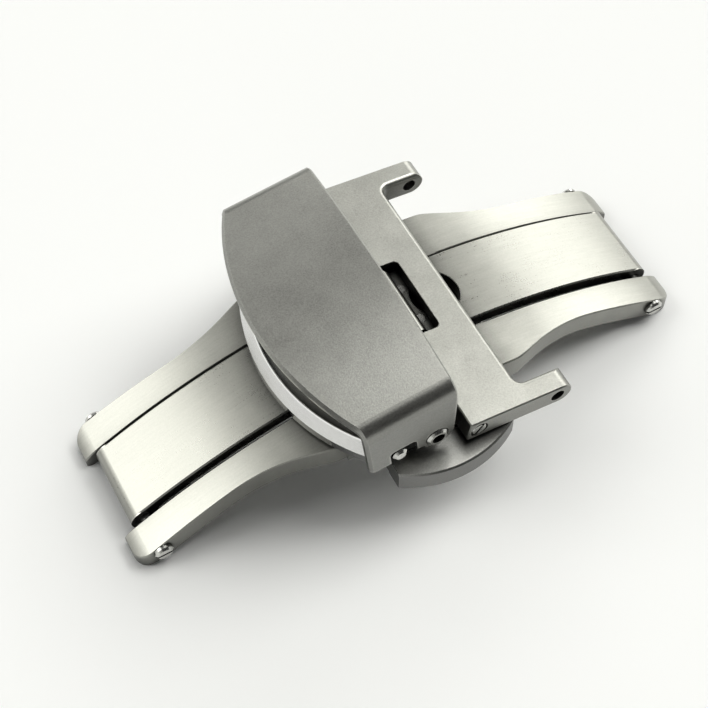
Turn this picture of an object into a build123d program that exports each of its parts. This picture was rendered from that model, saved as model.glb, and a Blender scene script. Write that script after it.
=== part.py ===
"""Double-fold strap clasp with two side push buttons, a hinged D-shaped strap cover and a slotted lug bar.

The clasp is closed. X runs along the strap with the lug bar on the +X side, Y runs across the strap and
Z points away from the wrist. Heights are worked out from the crown of the wing arms' top face, and the
whole clasp is lifted at the end so that its prongs rest on Z = 0. All lengths are in millimetres.
"""
from build123d import *
import math
import os

os.makedirs("parts", exist_ok=True)

# Fits shared by all pieces
running_clearance = 0.04
side_clearance = 0.06
cut_overrun = 3.0

# Wing arms: two arched plates that fold down between the prongs
arch_radius = 42.7
arm_thickness = 0.95
arm_width = 5.82
arm_hinge_reach = 19.5
arm_knuckle_radius = 1.1
arm_tip_gap = 0.6
arm_edge_break = 0.1
finger_hole_radius = 1.78
finger_hole_reach = 4.35

# Base frame: prongs at both ends of a wide waist that houses the buttons
prong_drop = 0.44
prong_gap = 0.32
prong_end_overhang = 1.85
prong_end_half_width = 5.6
prong_waist_half_width = 5.42
prong_waist_reach = 14.0
prong_flare_half_width = 6.3
prong_flare_reach = 8.6
prong_corner_radius = 1.1
prong_nose_top_run = 0.9
prong_nose_under_run = 2.1
prong_tip_share = 0.55
prong_toe_run = 0.8
prong_toe_height = 0.75
prong_edge_break = 0.08
prong_thickness = 1.75
waist_half_length = 5.0
waist_half_width = 8.2
flare_half_width = 6.82
flare_end_reach = 7.0
flare_shoulder_radius = 2.5
waist_top_drop = 1.33
waist_roof_thickness = 0.72
waist_step_reach = 5.2
waist_step_run = 0.35
waist_block_wall = 2.0
arm_bed_clearance = 0.12
hook_window_half_length = 3.9
hook_window_half_width = 2.2

# Hinge pins of the wing arms, with a head on each end
hinge_pin_radius = 0.5
hinge_head_radius = 0.68
hinge_head_height = 0.34
hinge_head_bevel = 0.15
hinge_head_slot_width = 0.2
hinge_head_slot_depth = 0.16
hinge_seat_half_width = 5.6

# Keeper plate that closes the button housing on the wrist side
keeper_thickness = 0.55
keeper_edge_inset = 0.25
keeper_corner_radius = 0.8
keeper_screw_radius = 0.4
keeper_screw_length = 1.3
keeper_screw_head_radius = 0.75
keeper_screw_head_height = 0.3
keeper_screw_slot_width = 0.18
keeper_screw_slot_depth = 0.14
keeper_screw_reach = 5.45
keeper_screw_spread = 5.6

# Push buttons: a curved head on a slider with two spring slots and one catch window
button_travel = 0.8
button_half_length = 4.35
button_head_height = 1.9
button_head_top_drop = 1.2
button_end_reach = 10.45
button_crown_reach = 11.75
button_gap = 0.1
button_edge_break = 0.12
slider_thickness = 0.8
slider_inner_reach = 3.6
slider_wall = 0.45
slider_arm_inset = 0.3
slider_arm_end = 1.75
catch_lip_reach = 0.85
catch_window_back = 1.45
catch_window_margin = 0.6
spring_slot_width = 0.96
spring_slot_outer_reach = 7.9
spring_post_radius = 0.4
spring_post_reach = 4.5
spring_post_offset = 2.3
spring_wire_radius = 0.08
spring_wire_sides = 6
spring_coil_radius = 0.33
spring_turns = 3
coil_samples_per_turn = 24
spring_end_gap = 0.02

# Catch hooks: one under each wing arm
hook_reach = 2.45
hook_width = 0.9
hook_depth = 1.0
hook_nose_length = 0.3
hook_nose_height = 0.45
hook_flange_half_length = 0.65
hook_flange_half_width = 1.8
hook_flange_thickness = 0.4
hook_floor_gap = 0.12
hook_rivet_radius = 0.35
hook_rivet_spread = 1.35

# Strap floor: the lower D-shaped plate, carried by the left wing arm
floor_thickness = 1.2
floor_reach = 8.88
floor_arc_radius = 14.6
floor_half_width = 8.9
floor_inner_reach = 2.3
floor_rim_width = 0.62
floor_rim_height = 0.4
floor_rim_bevel = 0.26
ear_thickness = 0.6
ear_rim = 0.35
ear_back_reach = 5.1
ear_step = 0.45
floor_rivet_radius = 0.55
floor_rivet_reaches = (3.55, 7.1)

# Strap post that goes through a hole of the strap
post_reach = 5.3
post_radius = 0.7
post_height = 3.3
post_tail_radius = 0.45
post_tip_bevel = 0.3

# Flap cover: bent sheet, arched across the strap, hinged on a hollow pin
cover_thickness = 0.5
cover_half_width = 10.05
cover_length = 9.1
cover_arc_radius = 19.4
cover_crown_radius = 48.0
cover_bend_radius = 1.3
cover_edge_height = 6.87
cover_edge_offset = 0.1
cover_tilt_deg = 5.1
cover_edge_break = 0.12
cover_rim_break = 0.2
cover_corner_inset = 0.6
cover_corner_radius = 1.2
skirt_depth = 6.2
skirt_lean = 0.55
cover_lobe_wall = 0.3
flap_tube_radius = 0.78
flap_tube_bore_radius = 0.46
flap_tube_reach = 1.35
flap_tube_height = 0.88
flap_tube_proud = 0.2
flap_tube_rim_break = 0.16
catch_pin_radius = 0.52
catch_pin_reach = 4.09
catch_pin_height = 0.99
catch_pin_proud = 0.18
catch_pin_bevel = 0.18
catch_notch_clearance = 0.14
catch_notch_mouth = 0.6
catch_notch_corner_radius = 0.35

# Lug bar: slotted plate with two lugs for the strap's spring bar
bar_left_edge = 0.82
bar_top_height = 1.17
bar_tilt_deg = 8.2
bar_thickness = 1.77
bar_length = 4.55
bar_half_width = 10.65
lug_gap = 18.14
lug_hole_reach = 6.93
lug_hole_radius = 0.5
lug_tip_offset = 0.22
lug_root_radius = 0.55
bar_edge_radius = 0.38
bar_edge_break = 0.08
bar_slot_length = 2.27
bar_slot_half_width = 3.01
bar_slot_corner_radius = 0.4
bar_bed_clearance = 0.08
bar_pin_radius = 0.42
bar_pin_offset = 0.8
bar_pin_depth = 0.9
bar_knuckle_radius = 0.76
bar_knuckle_length = 5.36
bar_screw_radius = 0.58
bar_screw_height = 0.45
bar_screw_clearance = 0.06
bar_screw_slot_width = 0.2
bar_screw_slot_depth = 0.18
bar_screw_turn_deg = 63.0

# Derived places
arm_half_width = arm_width / 2
prong_inner_half_width = arm_half_width + prong_gap
prong_end = arm_hinge_reach + prong_end_overhang
prong_top_radius = arch_radius - prong_drop
prong_under_radius = prong_top_radius - prong_thickness
arm_under_radius = arch_radius - arm_thickness
hinge_height = math.sqrt((arch_radius - arm_knuckle_radius) ** 2 - arm_hinge_reach ** 2) - arch_radius
waist_top = -waist_top_drop
slider_top = waist_top - waist_roof_thickness - side_clearance
slider_bottom = slider_top - slider_thickness
keeper_top = slider_bottom - side_clearance
block_reach = button_half_length + side_clearance + waist_block_wall
head_inner_reach = waist_half_width + button_travel + button_gap
slot_inner_reach = spring_post_reach - spring_post_radius - side_clearance
lug_end = lug_hole_reach + lug_tip_offset + bar_thickness / 2
bar_tilt = math.radians(bar_tilt_deg)
bar_pin_x = bar_left_edge + bar_pin_offset * math.cos(bar_tilt) - bar_pin_depth * math.sin(bar_tilt)
bar_pin_z = bar_top_height - bar_pin_offset * math.sin(bar_tilt) - bar_pin_depth * math.cos(bar_tilt)


def arch_height(radius, x):
    """Height at x of the arc with this radius around the arch's centre."""
    return math.sqrt(radius ** 2 - x ** 2) - arch_radius


def arch_line(radius, x_start, x_end):
    """Arc of the side view around the arch's centre between two values of x."""
    places = (x_start, (x_start + x_end) / 2, x_end)
    return ThreePointArc(*[(x, arch_height(radius, x)) for x in places])


def block(x_range, y_range, z_range):
    """Box between two values on each axis."""
    sizes = [high - low for low, high in (x_range, y_range, z_range)]
    centre = [(low + high) / 2 for low, high in (x_range, y_range, z_range)]
    return Pos(*centre) * Box(*sizes)


def cross_rod(radius, y_range, x, z):
    """Cylinder along Y between two values of y."""
    low, high = y_range
    return Pos(x, (low + high) / 2, z) * Rot(90, 0, 0) * Cylinder(radius, high - low)


def arch_cylinder(radius, half_width):
    """Solid cylinder along Y around the arch's centre."""
    return cross_rod(radius, (-half_width, half_width), 0, -arch_radius)


def arch_plate(inner_radius, outer_radius, x_range, half_width):
    """Plate that follows the arch between two radii and two values of x."""
    clip = block(x_range, (-half_width, half_width), (-arch_radius / 2, outer_radius))
    shell = arch_cylinder(outer_radius, half_width) - arch_cylinder(inner_radius, half_width + cut_overrun)
    return clip & shell


def radial(x):
    """Frame at the arch's centre whose Z axis points out through x on the arms' top face."""
    return Pos(0, 0, -arch_radius) * Rot(0, math.degrees(math.asin(x / arch_radius)), 0)


def radial_rod(radius, r_range, x, y):
    """Cylinder square to the arch between two radii."""
    low, high = r_range
    return radial(x) * Pos(0, y, (low + high) / 2) * Cylinder(radius, high - low)


def slotted_head(radius, height, bevel, slot_width, slot_depth):
    """Screw head along Z from zero up, with a bevelled rim and a slot across its top."""
    head = Pos(0, 0, height / 2) * Cylinder(radius, height)
    head = chamfer(head.edges().sort_by(Axis.Z)[-1], bevel)
    slot = Pos(0, 0, height) * Box(2 * radius + cut_overrun, slot_width, 2 * slot_depth)
    return head - slot


def helix_points(radius, pitch, turns):
    """Points and unit tangents of a helix along Z, one pair for each half turn."""
    rows = []
    for index in range(2 * turns + 1):
        angle = math.pi * index
        point = Vector(radius * math.cos(angle), radius * math.sin(angle), pitch * index / 2)
        tangent = Vector(-radius * math.sin(angle), radius * math.cos(angle), pitch / (2 * math.pi))
        rows.append((point, tangent.normalized()))
    return rows


def coil_path(radius, pitch, turns):
    """Path of a coil made of pairs of tangent arcs, one pair for each half turn."""
    rows = helix_points(radius, pitch, turns)
    edges = []
    for (start, start_dir), (end, end_dir) in zip(rows[:-1], rows[1:]):
        chord = end - start
        lean = chord.dot(start_dir + end_dir)
        spread = 2 * (1 - start_dir.dot(end_dir))
        reach = (math.sqrt(lean ** 2 + spread * chord.dot(chord)) - lean) / spread
        joint = (start + end + (start_dir - end_dir) * reach) * 0.5
        first = TangentArc(start, joint, tangent=start_dir)
        edges += [first, TangentArc(joint, end, tangent=first % 1)]
    return Wire(edges)


def least_coil_gap(path, wire_radius, turns):
    """Least gap between a coil's turns, measured between points along its path."""
    count = coil_samples_per_turn * turns
    points = [path @ (index / count) for index in range(count + 1)]
    pairs = [(first, second) for first in range(count + 1)
             for second in range(first + coil_samples_per_turn // 2, count + 1)]
    return min((points[first] - points[second]).length for first, second in pairs) - 2 * wire_radius


def spring_coil(radius, wire_radius, length, turns):
    """One unbroken spring along Z: a fine wire, drawn with few sides, swept along its coiled path."""
    path = coil_path(radius, (length - 2 * wire_radius) / turns, turns)
    section = Plane(origin=path @ 0, z_dir=path % 0) * RegularPolygon(wire_radius, spring_wire_sides)
    print("spring: least gap between turns", round(least_coil_gap(path, wire_radius, turns), 3))
    return Pos(0, 0, wire_radius) * sweep(section, path)


def base_plan():
    """Outline of the base seen from above, both prong pairs and the waist."""
    corner = (prong_end - prong_corner_radius, prong_end_half_width)
    nose = TangentArc(corner, (prong_end, prong_end_half_width - prong_corner_radius), tangent=(1, 0))
    side = Line(corner, (prong_waist_reach, prong_waist_half_width))
    waist = TangentArc(side @ 1, (prong_flare_reach, prong_flare_half_width), tangent=side % 1)
    flare = TangentArc(waist @ 1, (flare_end_reach, flare_half_width), tangent=waist % 1)
    rest = Polyline(nose @ 1, (prong_end, 0), (0, 0), (0, waist_half_width),
                    (waist_half_length, waist_half_width), (waist_half_length, flare_half_width), flare @ 1)
    quarter = make_face([nose, side, waist, flare, *rest.edges()])
    shoulder = min(quarter.vertices(), key=lambda corner: (Vector(corner) - (flare @ 1)).length)
    quarter = fillet(shoulder, flare_shoulder_radius)
    half = quarter + mirror(quarter, Plane.XZ)
    return half + mirror(half, Plane.YZ)


def base_side():
    """Outline of the base seen from the side: arched prongs, flat waist and the block below it."""
    step_end = waist_step_reach + waist_step_run
    block_end = math.sqrt(prong_under_radius ** 2 - (arch_radius + keeper_top) ** 2)
    nose_start = prong_end - prong_nose_top_run
    foot = prong_end - prong_nose_under_run
    top = arch_line(prong_top_radius, step_end, nose_start)
    bottom = arch_line(prong_under_radius, foot, block_end)
    tip_height = (top @ 1).Y + prong_tip_share * ((bottom @ 0).Y - (top @ 1).Y)
    nose = TangentArc(top @ 1, (prong_end, tip_height), tangent=top % 1)
    toe_end = (prong_end - prong_toe_run, tip_height - prong_toe_height)
    toe = TangentArc(nose @ 1, toe_end, tangent=nose % 1)
    sole = Line(toe @ 1, bottom @ 0)
    waist = Polyline(bottom @ 1, (0, keeper_top), (0, waist_top), (waist_step_reach, waist_top), top @ 0)
    half = Plane.XZ * make_face([top, nose, toe, sole, bottom, *waist.edges()])
    return half + mirror(half, Plane.YZ)


def on_prong_top(edge):
    """Whether an edge lies along the top face of a prong, away from its nose and from the waist."""
    middle = edge @ 0.5
    height = math.hypot(middle.X, middle.Z + arch_radius) - prong_top_radius
    along = waist_step_reach + waist_step_run < abs(middle.X) < prong_end - prong_nose_top_run
    return along and abs(height) < prong_edge_break / 2


def base_frame():
    """The arched base: four prongs, the button housing, the spring posts and the hook window."""
    reach = waist_half_width + cut_overrun
    body = extrude(base_side(), reach, both=True) & extrude(base_plan(), arch_radius, both=True)
    body = chamfer(body.edges().filter_by(on_prong_top), prong_edge_break)
    for side in (-1, 1):
        x_low, x_high = sorted((side * block_reach, side * (prong_end + cut_overrun)))
        body -= block((x_low, x_high), (-prong_inner_half_width, prong_inner_half_width),
                      (-arch_radius, arch_radius))
    inner = [edge for edge in body.edges().filter_by(on_prong_top).filter_by(GeomType.CIRCLE)
             if abs((edge @ 0.5).Y) < prong_inner_half_width + prong_edge_break]
    body = chamfer(inner, prong_edge_break)
    bed = arch_cylinder(arch_radius + cut_overrun, prong_inner_half_width)
    bed -= arch_cylinder(arm_under_radius - arm_bed_clearance, prong_inner_half_width + cut_overrun)
    body -= bed & block((-block_reach, block_reach), (-prong_inner_half_width, prong_inner_half_width),
                        (-arch_radius / 2, cut_overrun))
    pocket_half = button_half_length + side_clearance
    pocket_top = slider_top + side_clearance
    body -= block((-pocket_half, pocket_half), (-reach, reach), (keeper_top - cut_overrun, pocket_top))
    body -= block((-hook_window_half_length, hook_window_half_length),
                  (-hook_window_half_width, hook_window_half_width), (keeper_top, cut_overrun))
    for x in (-spring_post_offset, spring_post_offset):
        for y in (-spring_post_reach, spring_post_reach):
            post = block((x - spring_post_radius, x + spring_post_radius),
                         (y - spring_post_radius, y + spring_post_radius),
                         (keeper_top, pocket_top + waist_roof_thickness / 2))
            body += post
    for side in (-1, 1):
        x = side * arm_hinge_reach
        body -= cross_rod(hinge_pin_radius, (-reach, reach), x, hinge_height)
    for x in (-keeper_screw_reach, keeper_screw_reach):
        for y in (-keeper_screw_spread, keeper_screw_spread):
            depth = keeper_screw_length - keeper_thickness
            body -= Pos(x, y, keeper_top + depth / 2) * Cylinder(keeper_screw_radius, depth)
    return body


def hinge_pin(x):
    """Pin through both prongs and the arm's knuckle, with a slotted head at each end."""
    reach = hinge_seat_half_width
    pin = cross_rod(hinge_pin_radius, (-reach, reach), x, hinge_height)
    head = slotted_head(hinge_head_radius, hinge_head_height, hinge_head_bevel,
                        hinge_head_slot_width, hinge_head_slot_depth)
    pin += Pos(x, -reach, hinge_height) * Rot(90, 0, 0) * head
    pin += Pos(x, reach, hinge_height) * Rot(-90, 0, 0) * head
    return pin


def keeper_plate():
    """Thin plate under the waist that closes the button housing."""
    half_length = block_reach - keeper_edge_inset
    half_width = waist_half_width - keeper_edge_inset
    outline = Rectangle(2 * half_length, 2 * half_width)
    outline = fillet(outline.vertices(), keeper_corner_radius)
    outline = outline & base_plan()
    plate = Pos(0, 0, keeper_top - keeper_thickness) * extrude(outline, keeper_thickness)
    for x in (-keeper_screw_reach, keeper_screw_reach):
        for y in (-keeper_screw_spread, keeper_screw_spread):
            plate -= Pos(x, y, keeper_top - keeper_thickness / 2) * Cylinder(keeper_screw_radius,
                                                                             keeper_thickness)
    return plate


def keeper_screws():
    """Four slotted screws that hold the keeper plate."""
    screws = []
    for x in (-keeper_screw_reach, keeper_screw_reach):
        for y in (-keeper_screw_spread, keeper_screw_spread):
            head = slotted_head(keeper_screw_head_radius, keeper_screw_head_height,
                                keeper_screw_head_height / 2, keeper_screw_slot_width,
                                keeper_screw_slot_depth)
            shank = Pos(0, 0, -keeper_screw_length / 2) * Cylinder(keeper_screw_radius,
                                                                   keeper_screw_length)
            screw = Pos(x, y, keeper_top - keeper_thickness) * Rot(180, 0, 0) * (head + shank)
            screws.append(screw)
    return screws


def arm_blank(side, inner_reach):
    """Arched plate with its outer knuckle. side is -1 for the left arm and 1 for the right one."""
    tangent_reach = arm_hinge_reach * arch_radius / (arch_radius - arm_knuckle_radius)
    x_range = sorted((side * inner_reach, side * tangent_reach))
    arm = arch_plate(arm_under_radius, arch_radius, x_range, arm_half_width)
    arcs = arm.edges().filter_by(GeomType.CIRCLE)
    arm = chamfer([edge for edge in arcs if edge.radius > arch_radius - arm_edge_break], arm_edge_break)
    x = side * arm_hinge_reach
    arm += cross_rod(arm_knuckle_radius, (-arm_half_width, arm_half_width), x, hinge_height)
    arm -= cross_rod(hinge_pin_radius + running_clearance, (-arm_width, arm_width), x, hinge_height)
    return arm


def hook_rivet_holes(side):
    """The two holes in an arm for its hook's rivets."""
    low = arm_under_radius - hook_flange_thickness - hook_flange_half_length
    rods = [radial_rod(hook_rivet_radius, (low, arch_radius + cut_overrun), side * hook_reach, y)
            for y in (-hook_rivet_spread, hook_rivet_spread)]
    return rods[0] + rods[1]


def left_arm():
    """Left wing arm, which carries the strap floor."""
    arm = arm_blank(-1, arm_tip_gap) - hook_rivet_holes(-1)
    for reach in floor_rivet_reaches:
        arm -= radial_rod(floor_rivet_radius, (arm_under_radius - cut_overrun, arch_radius + cut_overrun),
                          -reach, 0)
    return arm


def right_arm():
    """Right wing arm, with the finger hole and the knuckle that carries the lug bar."""
    arm = arm_blank(1, bar_pin_x)
    half = bar_knuckle_length / 2
    arm += cross_rod(bar_knuckle_radius, (-half, half), bar_pin_x, bar_pin_z)
    arm -= cross_rod(bar_pin_radius + running_clearance, (-arm_width, arm_width), bar_pin_x, bar_pin_z)
    arm -= radial_rod(finger_hole_radius, (arm_under_radius - cut_overrun, arch_radius + cut_overrun),
                      finger_hole_reach, 0)
    return arm - hook_rivet_holes(1)


def catch_hook(side):
    """Hook under an arm: a riveted flange and a shank with a nose that points to its button's lip."""
    bottom = slider_bottom + hook_floor_gap
    x = side * hook_reach
    flange = block((x - hook_flange_half_length, x + hook_flange_half_length),
                   (-hook_flange_half_width, hook_flange_half_width),
                   (arch_height(arm_under_radius, hook_reach) - hook_flange_thickness, 0))
    shank = block((x - hook_width / 2, x + hook_width / 2), (-hook_depth / 2, hook_depth / 2), (bottom, 0))
    nose_side = -side
    y_range = sorted((0, nose_side * (hook_depth / 2 + hook_nose_length)))
    nose = block((x - hook_width / 2, x + hook_width / 2), y_range, (bottom, bottom + hook_nose_height))
    hook = (flange + shank + nose) & arch_cylinder(arm_under_radius, arm_width)
    return hook - hook_rivet_holes(side)


def hook_rivets(side):
    """Two rivets that fix a hook under its arm, flush with both faces."""
    low = arm_under_radius - hook_flange_thickness / 2
    return [radial_rod(hook_rivet_radius, (low, arch_radius), side * hook_reach, y)
            for y in (-hook_rivet_spread, hook_rivet_spread)]


def button_front():
    """Front push button: D-shaped head, slider with two spring slots, and the window of the left hook."""
    crown = ThreePointArc((-button_half_length, -button_end_reach), (0, -button_crown_reach),
                          (button_half_length, -button_end_reach))
    sides = Polyline(crown @ 1, (button_half_length, -head_inner_reach),
                     (-button_half_length, -head_inner_reach), crown @ 0)
    top = -button_head_top_drop
    head = Pos(0, 0, top - button_head_height) * extrude(make_face([crown, *sides.edges()]),
                                                         button_head_height)
    head = chamfer(head.edges().filter_by(GeomType.CIRCLE), button_edge_break)
    slider = block((-button_half_length, button_half_length), (-head_inner_reach, -slider_inner_reach),
                   (slider_bottom, slider_top))
    arm_x = (-button_half_length, -slider_arm_inset)
    slider += block(arm_x, (-slider_inner_reach - slider_wall, slider_arm_end), (slider_bottom, slider_top))
    window_x = (-hook_reach - hook_width / 2 - catch_window_margin,
                -hook_reach + hook_width / 2 + side_clearance)
    slider -= block(window_x, (-catch_window_back, catch_lip_reach), (slider_bottom, slider_top))
    for x in (-spring_post_offset, spring_post_offset):
        slider -= block((x - spring_slot_width / 2, x + spring_slot_width / 2),
                        (-spring_slot_outer_reach, -slot_inner_reach), (slider_bottom, slider_top))
    return head + slider


def springs_front():
    """Two springs between the front slider's slots and the base's posts."""
    start = -spring_slot_outer_reach + spring_end_gap
    end = -spring_post_reach - spring_post_radius - spring_end_gap
    z = (slider_top + slider_bottom) / 2
    coil = spring_coil(spring_coil_radius, spring_wire_radius, end - start, spring_turns)
    return [Pos(x, start, z) * Rot(-90, 0, 0) * coil for x in (-spring_post_offset, spring_post_offset)]


def floor_plan():
    """D-shaped outline of the strap floor."""
    centre_x = floor_arc_radius - floor_reach
    corner_x = centre_x - math.sqrt(floor_arc_radius ** 2 - floor_half_width ** 2)
    arc = ThreePointArc((corner_x, -floor_half_width), (-floor_reach, 0), (corner_x, floor_half_width))
    rest = Polyline(arc @ 1, (-floor_inner_reach, floor_half_width),
                    (-floor_inner_reach, -floor_half_width), arc @ 0)
    return make_face([arc, *rest.edges()])


def floor_rim(floor_radius):
    """Raised rim that follows the floor's arc, bevelled on its outer side."""
    inside = Pos(floor_arc_radius - floor_reach, 0) * Circle(floor_arc_radius - floor_rim_width)
    band = extrude(floor_plan() - inside, arch_radius / 2, both=True)
    band &= arch_plate(arch_radius, floor_radius + floor_rim_height, (-arch_radius / 2, 0),
                       floor_half_width + cut_overrun)
    outer_edges = [edge for edge in band.edges() if on_floor_arc(edge)]
    return chamfer(max(outer_edges, key=lambda edge: edge.center().Z), floor_rim_bevel)


def on_floor_arc(edge):
    """Whether an edge follows the strap floor's outer arc."""
    centre_x = floor_arc_radius - floor_reach
    reaches = [math.hypot((edge @ share).X - centre_x, (edge @ share).Y) for share in (0, 0.5, 1)]
    on_arc = all(abs(reach - floor_arc_radius) < side_clearance for reach in reaches)
    return on_arc and edge.length > floor_half_width


def strap_floor():
    """Strap floor: curved plate on the left arm with a raised arc rim and two side ears."""
    outer = arch_radius + floor_thickness
    plate = extrude(floor_plan(), arch_radius / 2, both=True)
    plate &= arch_plate(arch_radius, outer, (-arch_radius / 2, 0), floor_half_width + cut_overrun)
    plate += floor_rim(outer)
    for y_range in ((-floor_half_width, ear_thickness - floor_half_width),
                    (floor_half_width - ear_thickness, floor_half_width)):
        plate += cross_rod(flap_tube_radius + ear_rim, y_range, -flap_tube_reach, flap_tube_height)
        plate += cross_rod(catch_pin_radius + ear_rim, y_range, -catch_pin_reach, catch_pin_height)
        web_low = arch_height(arch_radius, catch_pin_reach)
        web_high = arch_height(outer, catch_pin_reach) + ear_step
        plate += block((-catch_pin_reach, -flap_tube_reach), y_range, (web_low, web_high))
        plate += block((-ear_back_reach, -catch_pin_reach), y_range, (web_low, catch_pin_height))
    reach = floor_half_width + cut_overrun
    plate -= cross_rod(flap_tube_radius, (-reach, reach), -flap_tube_reach, flap_tube_height)
    for y_range in ((-reach, ear_thickness - floor_half_width), (floor_half_width - ear_thickness, reach)):
        plate -= cross_rod(catch_pin_radius, y_range, -catch_pin_reach, catch_pin_height)
    for x in floor_rivet_reaches:
        plate -= radial_rod(floor_rivet_radius, (arch_radius - cut_overrun, outer + cut_overrun), -x, 0)
    plate -= radial_rod(post_tail_radius, (arch_radius - cut_overrun, outer + cut_overrun), -post_reach, 0)
    return plate


def floor_rivets():
    """Rivets through the arm and the strap floor, flush under the strap."""
    top = arch_radius + floor_thickness
    return [radial_rod(floor_rivet_radius, (arm_under_radius, top), -x, 0) for x in floor_rivet_reaches]


def strap_post():
    """Post on the strap floor with a rounded tip and a riveted tail."""
    top = arch_radius + floor_thickness
    post = Pos(0, 0, top + post_height / 2) * Cylinder(post_radius, post_height)
    post = chamfer(post.edges().sort_by(Axis.Z)[-1], post_tip_bevel)
    tail_length = floor_thickness - side_clearance
    post += Pos(0, 0, top - tail_length / 2) * Cylinder(post_tail_radius, tail_length)
    return radial(-post_reach) * post


def cover_frame():
    """Frame of the flap cover: origin at the crown of its straight edge, X along its tilted top."""
    return Pos(-cover_edge_offset, 0, cover_edge_height) * Rot(0, -cover_tilt_deg, 0)


def in_cover(x, z):
    """Place of a point of the clasp's side view in the flap cover's own frame."""
    place = cover_frame().inverse() * Pos(x, 0, z)
    return place.position.X, place.position.Z


def cover_section():
    """Section of the sheet across the strap: arched top, two bends and two skirts."""
    drop = cover_crown_radius - math.sqrt(cover_crown_radius ** 2 - cover_half_width ** 2)
    foot = skirt_depth + flap_tube_radius + cut_overrun
    top = ThreePointArc((-cover_half_width, -drop), (0, 0), (cover_half_width, -drop))
    sides = Polyline(top @ 1, (cover_half_width, -foot), (-cover_half_width, -foot), top @ 0)
    outer = make_face([top, *sides.edges()])
    outer = fillet(outer.vertices().sort_by(Axis.Y)[-2:], cover_bend_radius)
    inner = offset(outer, -cover_thickness)
    inner += Pos(0, -cover_thickness) * inner
    return outer - inner


def skirt_profile():
    """Side view of the whole cover: skirts with the tube's lobes and the catch notches."""
    tube_x, tube_z = in_cover(-flap_tube_reach, flap_tube_height)
    pin_x, pin_z = in_cover(-catch_pin_reach, catch_pin_height)
    height = cut_overrun
    body = make_face(Polyline((height, height), (-cover_length - height, height),
                              (-cover_length - height, -skirt_depth), (-skirt_lean, -skirt_depth),
                              (0, -cover_bend_radius), (height, -cover_bend_radius), close=True))
    body += Pos(tube_x, tube_z) * Circle(flap_tube_radius + cover_lobe_wall)
    notch_radius = catch_pin_radius + catch_notch_clearance
    mouth = Rectangle(2 * notch_radius + catch_notch_mouth, skirt_depth, align=(Align.MIN, Align.MAX))
    mouth = fillet(mouth.vertices().group_by(Axis.Y)[-1], catch_notch_corner_radius)
    return body - Pos(pin_x - notch_radius, pin_z + notch_radius) * mouth


def cover_plan():
    """Outline of the cover seen from above: an arc between two rounded corners, and the skirts' ends."""
    centre_x = cover_arc_radius - cover_length
    corner_half_width = cover_half_width - cover_corner_inset
    skirt_reach = math.sqrt(cover_arc_radius ** 2 - corner_half_width ** 2) - centre_x
    plan = Pos(centre_x, 0) * Circle(cover_arc_radius)
    plan &= Rectangle(cover_length, 2 * cover_half_width, align=(Align.MAX, Align.CENTER))
    plan += Rectangle(skirt_reach, 2 * (cover_half_width + cut_overrun), align=(Align.MAX, Align.CENTER))
    corners = [corner for corner in plan.vertices()
               if corner.X < -side_clearance and abs(corner.Y) < cover_half_width]
    return fillet(corners, cover_corner_radius)


def cover_top_edges(sheet):
    """The upper edges of the untilted cover: the long straight one and the one along its arc."""
    top = [edge for edge in sheet.edges()
           if edge.length > cover_half_width and (edge @ 0.5).Z > -cover_thickness / 2]
    return max(top, key=lambda edge: (edge @ 0.5).X), min(top, key=lambda edge: (edge @ 0.5).X)


def flap_cover():
    """Hinged D-shaped cover bent from sheet, bevelled along its arc and along its straight edge."""
    sheet = extrude(Plane.YZ * cover_section(), -cover_length - cut_overrun)
    sheet &= extrude(cover_plan(), skirt_depth + cut_overrun, both=True)
    sheet = chamfer(cover_top_edges(sheet)[1], cover_rim_break)
    sheet = chamfer(cover_top_edges(sheet)[0], cover_edge_break)
    sheet &= extrude(Plane.XZ * skirt_profile(), cover_half_width + cut_overrun, both=True)
    cover = cover_frame() * sheet
    reach = cover_half_width + cut_overrun
    return cover - cross_rod(flap_tube_radius + running_clearance, (-reach, reach), -flap_tube_reach,
                             flap_tube_height)


def flap_hinge_tube():
    """Hollow pin on which the cover turns; its open ends stand a little proud of the skirts."""
    reach = cover_half_width + flap_tube_proud
    tube = cross_rod(flap_tube_radius, (-reach, reach), -flap_tube_reach, flap_tube_height)
    tube = chamfer(tube.edges().filter_by(GeomType.CIRCLE), flap_tube_rim_break)
    bore = cross_rod(flap_tube_bore_radius, (-2 * reach, 2 * reach), -flap_tube_reach, flap_tube_height)
    return tube - bore


def flap_catch_pins():
    """Two short domed pins in the ears, over which the skirts' notches snap."""
    length = cover_half_width + catch_pin_proud - floor_half_width + ear_thickness
    pin = Pos(0, 0, length / 2) * Cylinder(catch_pin_radius, length)
    pin = chamfer(pin.edges().sort_by(Axis.Z)[-1], catch_pin_bevel)
    start = floor_half_width - ear_thickness
    back = Pos(-catch_pin_reach, start, catch_pin_height) * Rot(-90, 0, 0) * pin
    front = Pos(-catch_pin_reach, -start, catch_pin_height) * Rot(90, 0, 0) * pin
    return [back, front]


def bar_frame():
    """Frame of the lug bar: origin on its top left edge, X along its tilted top."""
    return Pos(bar_left_edge, 0, bar_top_height) * Rot(0, bar_tilt_deg, 0)


def on_bar_end(edge):
    """Whether an edge of the untilted lug bar lies in one of its two end faces."""
    return all(abs(abs((edge @ share).Y) - bar_half_width) < bar_edge_break / 2 for share in (0, 1))


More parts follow.
